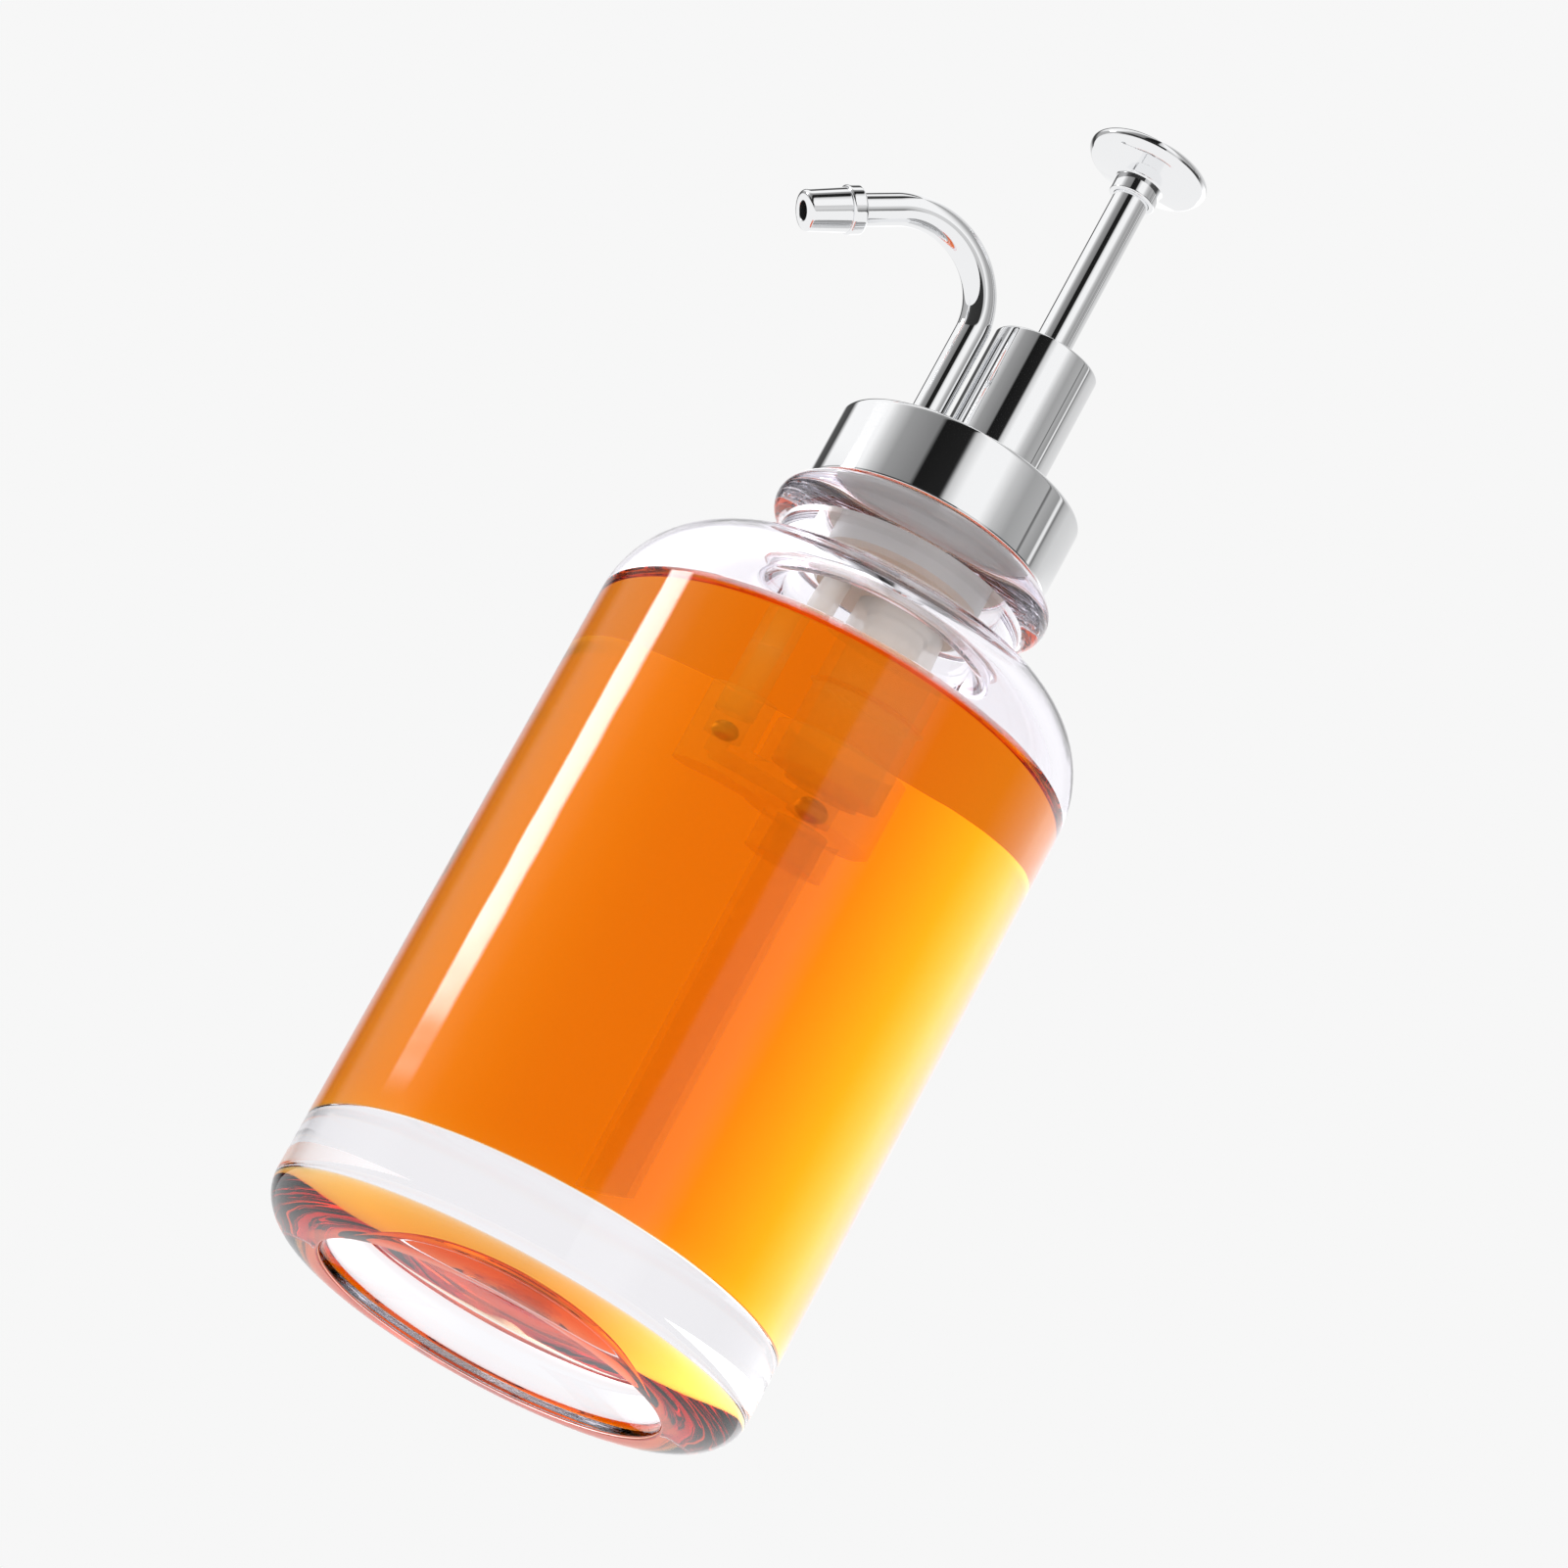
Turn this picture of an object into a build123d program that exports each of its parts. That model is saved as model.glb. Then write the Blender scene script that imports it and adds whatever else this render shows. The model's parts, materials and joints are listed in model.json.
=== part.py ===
"""Countertop syrup dispenser: a glass bottle with a screw-on pump head.

Millimetres, +Z up. The origin is the centre of the foot, on the bottle's axis. The spout
points to -X. The rod, the barrel and the tower share one axis, beside the bottle's own.

Pressing the knob pushes the piston down. The inlet ball shuts, and the syrup goes through the
cross bore, past the outlet ball and up the delivery tube to the spout. The spring lifts the
plunger again, and the inlet ball lets syrup in from the dip tube.
"""
from build123d import *

import os
from math import acos, cos, degrees, radians, sin, sqrt, tan

# ---- Fits -------------------------------------------------------------------------------
running_fit = 0.08        # gap per side of a rod, bush or seal that slides
joint_fit = 0.05          # gap per side where two pieces are bonded, pressed or screwed
rest_gap = 0.3            # between two stops that meet in use
turn_gap = 1.0            # around what turns and lifts out of the syrup

# ---- Bottle -----------------------------------------------------------------------------
body_r = 40.0
body_wall = 3.4
heel_w = 9.5              # the wall's foot turns in by this much
heel_h = 7.5              # over this height
foot_ring_w = 1.6         # of the flat ring that the bottle stands on
foot_edge_r = 0.6
punt_draft = 1.4          # the recess under the bottle narrows by this, per side
punt_depth = 8.0
punt_corner_r = 2.0
punt_rise = 1.2           # the recess's ceiling is domed by this much
base_t = 10.0             # glass between the recess's edge and the syrup
floor_corner_r = 5.0
shoulder_z = 112.0        # the straight wall ends here
shoulder_wall = 3.4
shoulder_sweep = 80.0     # degrees of arc before the shoulder runs straight to the neck
shoulder_run = 4.92       # inward length of that straight run
neck_step = 2.1           # from the finish out to the neck
neck_crease_r = 0.8
bore_crease_r = 6.0       # inside, where the shoulder turns up into the neck
neck_h = 7.0              # from the end of the shoulder to the bead
bead_round_r = 3.2
bead_stand_out = 2.8      # of the bead, past the neck
finish_r = 18.6           # the plain cylinder above the bead
finish_h = 9.6            # from the bead to the lip
finish_wall = 2.2
lip_round_r = 0.8

# ---- Syrup ------------------------------------------------------------------------------
syrup_z = 112.0
syrup_film = 0.1          # gap between the syrup and the glass

# ---- Cap, liner and gasket --------------------------------------------------------------
thread_room = 0.7         # between the finish and the liner
cap_wall = 0.7
cap_top_t = 1.1
cap_corner_r = 0.9
cap_above_bead = 0.4
liner_wall = 0.8
liner_recess = 0.5        # of the liner's lower edge, up inside the cap
gasket_t = 1.2
gasket_inset = 0.2        # of the gasket's rim, from the edge of the lip

# ---- The two axes in the head -----------------------------------------------------------
pump_x = 3.3
spout_x = -9.3

# ---- Neck insert ------------------------------------------------------------------------
flange_t = 1.9
plug_gap = 0.6            # between the insert's plug and the bottle's bore
plug_h = 13.0             # of the wide plug, below the flange
stem_r = 13.2             # the narrower lower part of the insert
stem_h = 6.8
insert_edge = 0.8         # chamfer on the insert's lower edges
socket_depth = 4.0        # how far the barrel and the delivery tube go up into the insert
vent_r = 0.5
vent_up = 5.2             # of the vent, above the insert's underside
duct_r = 1.4              # from the delivery tube to the spout

# ---- Tower, bush and spring -------------------------------------------------------------
tower_r = 9.0
tower_h = 24.2            # above the cap
tower_roof_t = 2.8
tower_edge = 0.5
tower_spigot_r = 7.6
tower_spigot_h = 7.0      # below the cap's top face
spring_bore_r = 6.0
bush_r = 4.6
bush_flange_r = 5.7
bush_flange_t = 1.4
bush_proud = 0.3
stop_collar_r = 5.4
stop_collar_t = 1.5
spring_wire = 0.8
spring_mean_r = 4.7
spring_turns = 10

# ---- Plunger ----------------------------------------------------------------------------
rod_r = 3.0
press_travel = 26.0
knob_clear = 4.1          # between the knob and the bush at full press
knob_collar_r = 3.9
knob_collar_h = 3.2
knob_dish_r = 9.2
knob_dish_rise = 1.4
knob_r = 10.15
knob_rim_h = 2.7
knob_rim_bulge_up = 1.5   # height of the rim's widest line, above its lower edge
knob_top_r = 9.7
knob_crown = 0.9
knob_socket_depth = 3.0
stud_r = 1.7
piston_h = 4.5
piston_side_gap = 0.2     # between the piston's body and the bore
piston_groove_h = 1.8
piston_groove_r = 3.7
nut_r = 3.2
nut_h = 1.8

# ---- Barrel and rod seal ----------------------------------------------------------------
barrel_bore_r = 5.0
barrel_r = 6.2            # of the lower part
barrel_collar_r = 7.7     # of the upper part
barrel_collar_h = 21.4
barrel_spigot_r = 7.2
barrel_taper_h = 1.5
seal_bore_r = 5.6
seal_drop = 2.5           # of the seal's ledge, below the insert's underside
seal_t = 2.0
gland_t = 4.0
chamber_floor_gap = 1.7   # under the nut at full press

# ---- Valve body, balls and tubes --------------------------------------------------------
valve_r = 7.6
valve_socket_h = 6.0
valve_edge = 0.8
cage_r = 4.2
cage_t = 1.4
cage_port_r = 0.7
cage_port_circle_r = 2.7
cage_ports = 6
inlet_ball_r = 1.9
inlet_seat_r = 1.3
inlet_lift = 1.1
outlet_ball_r = 1.6
outlet_seat_r = 1.2
outlet_lift = 1.2
ball_room = 0.6           # around a ball, per side
ball_gap = 0.1            # off its seat at rest, and off its stop at full lift
seat_t = 1.5
cross_bore_r = 1.2
cross_up = 0.5            # of the cross bore's lowest line, above the inlet's seat
dip_socket_depth = 6.5
dip_socket_wall = 1.4
arm_w = 6.0
arm_h = 5.6
outlet_boss_r = 3.8
outlet_socket_h = 3.8
delivery_r = 2.3
delivery_bore_r = 1.3
delivery_notch = 1.0      # width and height of the notch across the tube's lower end
dip_r = 3.0
dip_bore_r = 2.2
dip_floor_gap = 3.0       # from the bottle's floor to the longer side of the cut end
dip_cut_angle = 40.0

# ---- Spout ------------------------------------------------------------------------------
spout_r = 2.7
spout_bore_r = 2.0
spout_depth = 8.0         # below the cap's top face
spout_rise = 20.1         # straight part above the cap
spout_bend_r = 12.8
spout_bend = 125.0        # degrees, so the nozzle points 35 degrees below level
spout_run = 6.5           # straight part after the bend, up to the nozzle's collar
spout_in_nozzle = 3.2
spout_seal_up = 3.0       # of the seal, above the spout's lower end
spout_seal_t = 1.5
spout_seal_w = 1.0
collar_r = 3.95
collar_len = 2.4
collar_edge = 0.35
nozzle_back_r = 3.6
nozzle_front_r = 3.3
nozzle_len = 7.2
nozzle_bore_r = 1.55
nozzle_round_r = 0.7


def arc_end(radius, sweep):
    """End of an arc of this radius that starts level with its centre and turns upward."""
    return Vector(radius * cos(radians(sweep)), radius * sin(radians(sweep)))


def seated(ball_r, seat_r):
    """Height of a ball's centre above the edge of the round seat that it rests in."""
    return sqrt(ball_r**2 - seat_r**2)


# ---- Bottle: radii and heights that follow ----------------------------------------------
cavity_r = body_r - body_wall
foot_r = body_r - heel_w
foot_bore_r = foot_r - foot_ring_w
punt_r = foot_bore_r - punt_draft
punt_dome_r = (punt_r**2 + punt_rise**2) / (2 * punt_rise)
punt_mid_z = punt_depth + punt_rise - punt_dome_r + sqrt(punt_dome_r**2 - (punt_r / 2) ** 2)
floor_z = punt_depth + base_t
neck_r = finish_r + neck_step
bore_r = finish_r - finish_wall
shoulder_r = (body_r - neck_r - shoulder_run) / (1 - cos(radians(shoulder_sweep)))
shoulder_centre = Vector(body_r - shoulder_r, shoulder_z)
outer_end = shoulder_centre + arc_end(shoulder_r, shoulder_sweep)
inner_end = shoulder_centre + arc_end(shoulder_r - shoulder_wall, shoulder_sweep)
shoulder_slope = tan(radians(90 - shoulder_sweep))
neck_z = outer_end.Y + (outer_end.X - neck_r) * shoulder_slope
bore_z = inner_end.Y + (inner_end.X - bore_r) * shoulder_slope
bead_centre_r = neck_r + bead_stand_out - bead_round_r
bead_turn = acos((neck_r - bead_centre_r) / bead_round_r)
bead_z = neck_z + neck_h + bead_round_r * sin(bead_turn)
bead_top_z = bead_z + bead_round_r
lip_z = bead_top_z + finish_h

# ---- Head: radii and heights that follow ------------------------------------------------
flange_z = lip_z + gasket_t
cap_under_z = flange_z + flange_t
cap_top_z = cap_under_z + cap_top_t
cap_bottom_z = bead_top_z + cap_above_bead
liner_bore_r = finish_r + thread_room
liner_r = liner_bore_r + liner_wall
cap_inner_r = liner_r + joint_fit
cap_r = cap_inner_r + cap_wall
flange_r = liner_bore_r - joint_fit
plug_r = bore_r - plug_gap
plug_z = flange_z - plug_h
insert_z = plug_z - stem_h
socket_z = insert_z + socket_depth
spigot_z = cap_top_z - tower_spigot_h
spout_z = cap_top_z - spout_depth
spout_seal_z = spout_z + spout_seal_up
spout_seal_r = spout_r + joint_fit + spout_seal_w

tower_z = cap_top_z + tower_h
roof_z = tower_z - tower_roof_t
bush_z = roof_z - bush_flange_t
bush_top_z = tower_z + bush_proud
stop_z = bush_z - rest_gap - stop_collar_t

seal_z = insert_z - seal_drop
gland_z = seal_z + seal_t
spring_z = gland_z + gland_t
piston_top_z = seal_z - rest_gap
piston_z = piston_top_z - piston_h
piston_r = barrel_bore_r - piston_side_gap
groove_z = piston_z + (piston_h - piston_groove_h) / 2
nut_z = piston_z - nut_h
barrel_z = nut_z - press_travel - chamber_floor_gap
barrel_collar_z = insert_z - barrel_collar_h
knob_z = bush_top_z + press_travel + knob_clear
dish_z = knob_z + knob_collar_h
rim_z = dish_z + knob_dish_rise
knob_top_z = rim_z + knob_rim_h

cage_z = barrel_z - cage_t
inlet_seat_z = (cage_z - ball_gap - inlet_lift - inlet_ball_r
                - seated(inlet_ball_r, inlet_seat_r) - ball_gap)
inlet_ball_z = inlet_seat_z + seated(inlet_ball_r, inlet_seat_r) + ball_gap
valve_z = inlet_seat_z - seat_t
dip_z = floor_z + dip_floor_gap
cross_z = inlet_seat_z + cross_up + cross_bore_r
outlet_seat_z = cross_z + cross_bore_r + seat_t
outlet_ball_z = outlet_seat_z + seated(outlet_ball_r, outlet_seat_r) + ball_gap
delivery_z = outlet_ball_z + outlet_ball_r + outlet_lift + ball_gap

# ---- Planes, axes and helpers -----------------------------------------------------------
pump_plane = Plane(origin=(pump_x, 0, 0), x_dir=(1, 0, 0), z_dir=(0, -1, 0))
pump_axis = Axis((pump_x, 0, 0), (0, 0, 1))
spout_plane = Plane(origin=(spout_x, 0, 0), x_dir=(1, 0, 0), z_dir=(0, -1, 0))
upward = (Align.CENTER, Align.CENTER, Align.MIN)


def outline(plane, *points):
    """A closed face with straight sides on this plane."""
    with BuildSketch(plane) as face:
        with BuildLine():
            Polyline(*points, close=True)
        make_face()
    return face.sketch


def ring(height, outer_r, inner_r, centre_x=0.0):
    """A flat ring at this height."""
    with BuildSketch(Plane((centre_x, 0, height))) as face:
        Circle(outer_r)
        Circle(inner_r, mode=Mode.SUBTRACT)
    return face.sketch


# ---- Bottle and syrup -------------------------------------------------------------------
with BuildPart() as glass_bottle:
    with BuildSketch(Plane.XZ) as wall:
        with BuildLine():
            ThreePointArc((0, punt_depth + punt_rise), (punt_r / 2, punt_mid_z), (punt_r, punt_depth))
            Polyline((punt_r, punt_depth), (foot_bore_r, 0), (foot_r, 0))
            EllipticalCenterArc((foot_r, heel_h), heel_w, heel_h, start_angle=-90, arc_size=90)
            Line((body_r, heel_h), (body_r, shoulder_z))
            CenterArc(shoulder_centre, shoulder_r, 0, shoulder_sweep)
            Polyline(outer_end, (neck_r, neck_z), (neck_r, neck_z + neck_h))
            CenterArc((bead_centre_r, bead_z), bead_round_r, -degrees(bead_turn), degrees(bead_turn) + 90)
            Polyline((bead_centre_r, bead_top_z), (finish_r, bead_top_z), (finish_r, lip_z),
                     (bore_r, lip_z), (bore_r, bore_z), inner_end)
            CenterArc(shoulder_centre, shoulder_r - shoulder_wall, 0, shoulder_sweep)
            Line((cavity_r, shoulder_z), (cavity_r, floor_z + floor_corner_r))
            CenterArc((cavity_r - floor_corner_r, floor_z + floor_corner_r), floor_corner_r, -90, 90)
            Polyline((cavity_r - floor_corner_r, floor_z), (0, floor_z), (0, punt_depth + punt_rise))
        make_face()
        for corner, radius in (
            ((punt_r, punt_depth), punt_corner_r),
            ((foot_bore_r, 0), foot_edge_r),
            ((neck_r, neck_z), neck_crease_r),
            ((finish_r, lip_z), lip_round_r),
            ((bore_r, lip_z), lip_round_r),
            ((bore_r, bore_z), bore_crease_r),
        ):
            fillet(wall.vertices().sort_by_distance(corner)[:1], radius=radius)
    revolve(axis=Axis.Z)

# The hole down the middle is where the pump and its tubes turn and lift out.
dip_hole_r = pump_x + dip_r + joint_fit + dip_socket_wall + turn_gap
pump_hole_r = outlet_boss_r - spout_x + turn_gap
pump_hole_z = valve_z - turn_gap
syrup_r = cavity_r - syrup_film
syrup_floor_z = floor_z + syrup_film
with BuildPart() as syrup:
    with BuildSketch(Plane.XZ):
        with BuildLine():
            Line((dip_hole_r, syrup_floor_z), (syrup_r - floor_corner_r, syrup_floor_z))
            CenterArc((syrup_r - floor_corner_r, syrup_floor_z + floor_corner_r), floor_corner_r, -90, 90)
            Polyline((syrup_r, syrup_floor_z + floor_corner_r), (syrup_r, syrup_z),
                     (pump_hole_r, syrup_z), (pump_hole_r, pump_hole_z),
                     (dip_hole_r, pump_hole_z), (dip_hole_r, syrup_floor_z))
        make_face()
    revolve(axis=Axis.Z)

# ---- Gasket, cap and liner --------------------------------------------------------------
with BuildPart() as neck_gasket:
    extrude(ring(lip_z, finish_r - gasket_inset, bore_r), amount=gasket_t)

with BuildPart() as cap_shell:
    with BuildSketch(Plane.XY.offset(cap_bottom_z)):
        Circle(cap_r)
    extrude(amount=cap_top_z - cap_bottom_z)
    fillet(cap_shell.edges().group_by(Axis.Z)[-1], radius=cap_corner_r)
    with Locations((0, 0, cap_bottom_z)):
        Cylinder(cap_inner_r, cap_under_z - cap_bottom_z, align=upward, mode=Mode.SUBTRACT)
    with Locations((pump_x, 0, cap_under_z)):
        Cylinder(tower_spigot_r + joint_fit, cap_top_t, align=upward, mode=Mode.SUBTRACT)
    with Locations((spout_x, 0, cap_under_z)):
        Cylinder(spout_r + joint_fit, cap_top_t, align=upward, mode=Mode.SUBTRACT)

liner_z = cap_bottom_z + liner_recess
with BuildPart() as cap_liner:
    extrude(ring(liner_z, liner_r, liner_bore_r), amount=cap_under_z - liner_z)

# ---- Neck insert ------------------------------------------------------------------------
with BuildPart() as neck_insert:
    for height, radius, length in (
        (insert_z, stem_r, stem_h),
        (plug_z, plug_r, plug_h),
        (flange_z, flange_r, flange_t),
    ):
        with Locations((0, 0, height)):
            Cylinder(radius, length, align=upward)
    lower_rims = neck_insert.edges().filter_by(GeomType.CIRCLE).group_by(Axis.Z)
    chamfer(lower_rims[0], length=insert_edge)
    for centre_x, radius, low, high in (
        (pump_x, barrel_spigot_r + joint_fit, insert_z, socket_z),
        (pump_x, spring_bore_r, socket_z, spigot_z),
        (pump_x, tower_spigot_r + joint_fit, spigot_z, cap_under_z),
        (spout_x, delivery_r + joint_fit, insert_z, socket_z),
        (spout_x, duct_r, socket_z, spout_z),
        (spout_x, spout_r + joint_fit, spout_z, cap_under_z),
        (spout_x, spout_seal_r, spout_seal_z, spout_seal_z + spout_seal_t),
    ):
        with Locations((centre_x, 0, low)):
            Cylinder(radius, high - low, align=upward, mode=Mode.SUBTRACT)
    with BuildSketch(Plane.XZ):
        with Locations((pump_x, insert_z + vent_up)):
            Circle(vent_r)
    extrude(amount=-stem_r, mode=Mode.SUBTRACT)

# ---- Tower, bush, spring and rod seal ---------------------------------------------------
with BuildPart() as pump_housing:
    with BuildSketch(pump_plane) as section:
        with BuildLine():
            Polyline((spring_bore_r, spigot_z), (tower_spigot_r, spigot_z),
                     (tower_spigot_r, cap_top_z), (tower_r, cap_top_z), (tower_r, tower_z),
                     (bush_r + joint_fit, tower_z), (bush_r + joint_fit, roof_z),
                     (spring_bore_r, roof_z), close=True)
        make_face()
        fillet(section.vertices().sort_by_distance((tower_r, tower_z))[:1], radius=tower_edge)
    revolve(axis=pump_axis)

rod_bore_r = rod_r + running_fit
with BuildPart() as guide_bush:
    revolve(outline(pump_plane, (rod_bore_r, bush_z), (bush_flange_r, bush_z),
                    (bush_flange_r, roof_z), (bush_r, roof_z), (bush_r, bush_top_z),
                    (rod_bore_r, bush_top_z)), axis=pump_axis)

spring_low = spring_z + spring_wire / 2
spring_high = stop_z - spring_wire / 2
with BuildPart() as return_spring:
    with BuildLine() as coil:
        Helix((spring_high - spring_low) / spring_turns, spring_high - spring_low, spring_mean_r,
              center=(pump_x, 0, spring_low))
    with BuildSketch(Plane(origin=coil.line @ 0, x_dir=(1, 0, 0), z_dir=coil.line % 0)):
        Circle(spring_wire / 2)
    sweep(path=coil.line, is_frenet=True)

with BuildPart() as rod_seal:
    extrude(ring(seal_z, seal_bore_r - joint_fit, rod_bore_r, pump_x), amount=seal_t)

with BuildPart() as seal_gland:
    extrude(ring(gland_z, seal_bore_r - joint_fit, rod_bore_r, pump_x), amount=gland_t)

# ---- Plunger ----------------------------------------------------------------------------
rod_top_z = knob_z + knob_socket_depth
with BuildPart() as plunger_rod:
    revolve(outline(pump_plane, (0, nut_z), (stud_r, nut_z), (stud_r, piston_top_z),
                    (rod_r, piston_top_z), (rod_r, rod_top_z), (0, rod_top_z)), axis=pump_axis)

with BuildPart() as stop_collar:
    extrude(ring(stop_z, stop_collar_r, rod_r + joint_fit, pump_x), amount=stop_collar_t)

knob_bore_r = rod_r + joint_fit
crown_r = (knob_top_r**2 + knob_crown**2) / (2 * knob_crown)
crown_mid_z = knob_top_z + knob_crown - crown_r + sqrt(crown_r**2 - (knob_top_r / 2)**2)
with BuildPart() as press_knob:
    with BuildSketch(pump_plane):
        with BuildLine():
            Polyline((knob_bore_r, knob_z), (knob_collar_r, knob_z), (knob_collar_r, dish_z),
                     (knob_dish_r, rim_z))
            ThreePointArc((knob_dish_r, rim_z), (knob_r, rim_z + knob_rim_bulge_up),
                          (knob_top_r, knob_top_z))
            ThreePointArc((knob_top_r, knob_top_z), (knob_top_r / 2, crown_mid_z),
                          (0, knob_top_z + knob_crown))
            Polyline((0, knob_top_z + knob_crown), (0, rod_top_z), (knob_bore_r, rod_top_z),
                     (knob_bore_r, knob_z))
        make_face()
    revolve(axis=pump_axis)

groove_top_z = groove_z + piston_groove_h
with BuildPart() as piston:
    revolve(outline(pump_plane, (stud_r + joint_fit, piston_z), (piston_r, piston_z),
                    (piston_r, groove_z), (piston_groove_r, groove_z),
                    (piston_groove_r, groove_top_z), (piston_r, groove_top_z),
                    (piston_r, piston_top_z), (stud_r + joint_fit, piston_top_z)), axis=pump_axis)

with BuildPart() as piston_seal:
    extrude(ring(groove_z + joint_fit, barrel_bore_r - running_fit, piston_groove_r + joint_fit, pump_x),
            amount=piston_groove_h - 2 * joint_fit)

with BuildPart() as piston_nut:
    with BuildSketch(Plane((pump_x, 0, nut_z))):
        RegularPolygon(nut_r, 6)
        Circle(stud_r + joint_fit, mode=Mode.SUBTRACT)
    extrude(amount=nut_h)

# ---- Barrel and valves ------------------------------------------------------------------
with BuildPart() as pump_barrel:
    revolve(outline(pump_plane, (barrel_bore_r, barrel_z), (barrel_r, barrel_z),
                    (barrel_r, barrel_collar_z - barrel_taper_h), (barrel_collar_r, barrel_collar_z),
                    (barrel_collar_r, insert_z), (barrel_spigot_r, insert_z),
                    (barrel_spigot_r, socket_z), (seal_bore_r, socket_z), (seal_bore_r, seal_z),
                    (barrel_bore_r, seal_z)), axis=pump_axis)

valve_top_z = barrel_z + valve_socket_h
dip_socket_r = dip_r + joint_fit
dip_boss_r = dip_socket_r + dip_socket_wall
dip_socket_z = valve_z - dip_socket_depth
with BuildPart() as valve_body:
    with Locations((pump_x, 0, valve_z)):
        Cylinder(valve_r, valve_top_z - valve_z, align=upward)
    chamfer(valve_body.edges().group_by(Axis.Z)[0], length=valve_edge)
    with Locations((pump_x, 0, dip_socket_z)):
        Cylinder(dip_boss_r, valve_z - dip_socket_z, align=upward)
    with Locations(((pump_x + spout_x) / 2, 0, valve_z)):
        Box(pump_x - spout_x, arm_w, arm_h, align=upward)
    with Locations((spout_x, 0, valve_z)):
        Cylinder(outlet_boss_r, delivery_z + outlet_socket_h - valve_z, align=upward)
    for centre_x, radius, low, high in (
        (pump_x, dip_socket_r, dip_socket_z, valve_z),
        (pump_x, inlet_seat_r, valve_z, inlet_seat_z),
        (pump_x, inlet_ball_r + ball_room, inlet_seat_z, cage_z),
        (pump_x, cage_r + joint_fit, cage_z, barrel_z),
        (pump_x, barrel_r + joint_fit, barrel_z, valve_top_z),
        (spout_x, outlet_seat_r, cross_z, outlet_seat_z),
        (spout_x, outlet_ball_r + ball_room, outlet_seat_z, delivery_z),
        (spout_x, delivery_r + joint_fit, delivery_z, delivery_z + outlet_socket_h),
    ):
        with Locations((centre_x, 0, low)):
            Cylinder(radius, high - low, align=upward, mode=Mode.SUBTRACT)
    with BuildSketch(Plane.YZ.offset(spout_x)):
        with Locations((0, cross_z)):
            Circle(cross_bore_r)
    extrude(amount=pump_x - spout_x, mode=Mode.SUBTRACT)

with BuildPart() as valve_cage:
    with BuildSketch(Plane((pump_x, 0, cage_z))):
        Circle(cage_r)
        with PolarLocations(cage_port_circle_r, cage_ports):
            Circle(cage_port_r, mode=Mode.SUBTRACT)
    extrude(amount=cage_t)

with BuildPart() as inlet_ball:
    with Locations((pump_x, 0, inlet_ball_z)):
        Sphere(inlet_ball_r)

with BuildPart() as outlet_ball:
    with Locations((spout_x, 0, outlet_ball_z)):
        Sphere(outlet_ball_r)

with BuildPart() as delivery_tube:
    extrude(ring(delivery_z, delivery_r, delivery_bore_r, spout_x), amount=socket_z - delivery_z)
    with Locations((spout_x, 0, delivery_z)):
        Box(2 * delivery_r, delivery_notch, delivery_notch, align=upward, mode=Mode.SUBTRACT)

with BuildPart() as dip_tube:
    extrude(ring(dip_z, dip_r, dip_bore_r, pump_x), amount=valve_z - dip_z)
    cut_plane = Plane(origin=(pump_x - dip_r, 0, dip_z)).rotated((0, -dip_cut_angle, 0))
    split(bisect_by=cut_plane, keep=Keep.TOP)

# ---- Spout and nozzle -------------------------------------------------------------------
bend_z = cap_top_z + spout_rise
nozzle_run = spout_run + collar_len + spout_in_nozzle
with BuildLine(spout_plane) as spout_path:
    Line((0, spout_z), (0, bend_z))
    bend = CenterArc((-spout_bend_r, bend_z), spout_bend_r, 0, spout_bend)
    PolarLine(bend @ 1, nozzle_run, spout_bend + 90)

with BuildPart() as spout_tube:
    sweep(ring(spout_z, spout_r, spout_bore_r, spout_x), path=spout_path.line)

with BuildPart() as spout_seal:
    extrude(ring(spout_seal_z, spout_seal_r - joint_fit, spout_r + joint_fit / 2, spout_x),
            amount=spout_seal_t)

nozzle_way = spout_path.line % 1
collar_start = (spout_path.line @ 1) - nozzle_way * (collar_len + spout_in_nozzle)
nozzle_plane = Plane(origin=collar_start, x_dir=nozzle_way, z_dir=(0, -1, 0))
nozzle_axis = Axis(collar_start, nozzle_way)
tube_hole_r = spout_r + joint_fit

with BuildPart() as nozzle_collar:
    with BuildSketch(nozzle_plane) as section:
        with BuildLine():
            Polyline((0, tube_hole_r), (0, collar_r), (collar_len, collar_r),
                     (collar_len, tube_hole_r), close=True)
        make_face()
        chamfer(section.vertices().group_by(Axis.Y)[-1], length=collar_edge)
    revolve(axis=nozzle_axis)

tip_end = collar_len + nozzle_len
tube_stop = collar_len + spout_in_nozzle
with BuildPart() as nozzle_tip:
    with BuildSketch(nozzle_plane) as section:
        with BuildLine():
            Polyline((collar_len, tube_hole_r), (collar_len, nozzle_back_r),
                     (tip_end, nozzle_front_r), (tip_end, nozzle_bore_r),
                     (tube_stop, nozzle_bore_r), (tube_stop, tube_hole_r), close=True)
        make_face()
        fillet(section.vertices().sort_by_distance((tip_end, nozzle_front_r))[:1], radius=nozzle_round_r)
    revolve(axis=nozzle_axis)

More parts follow.
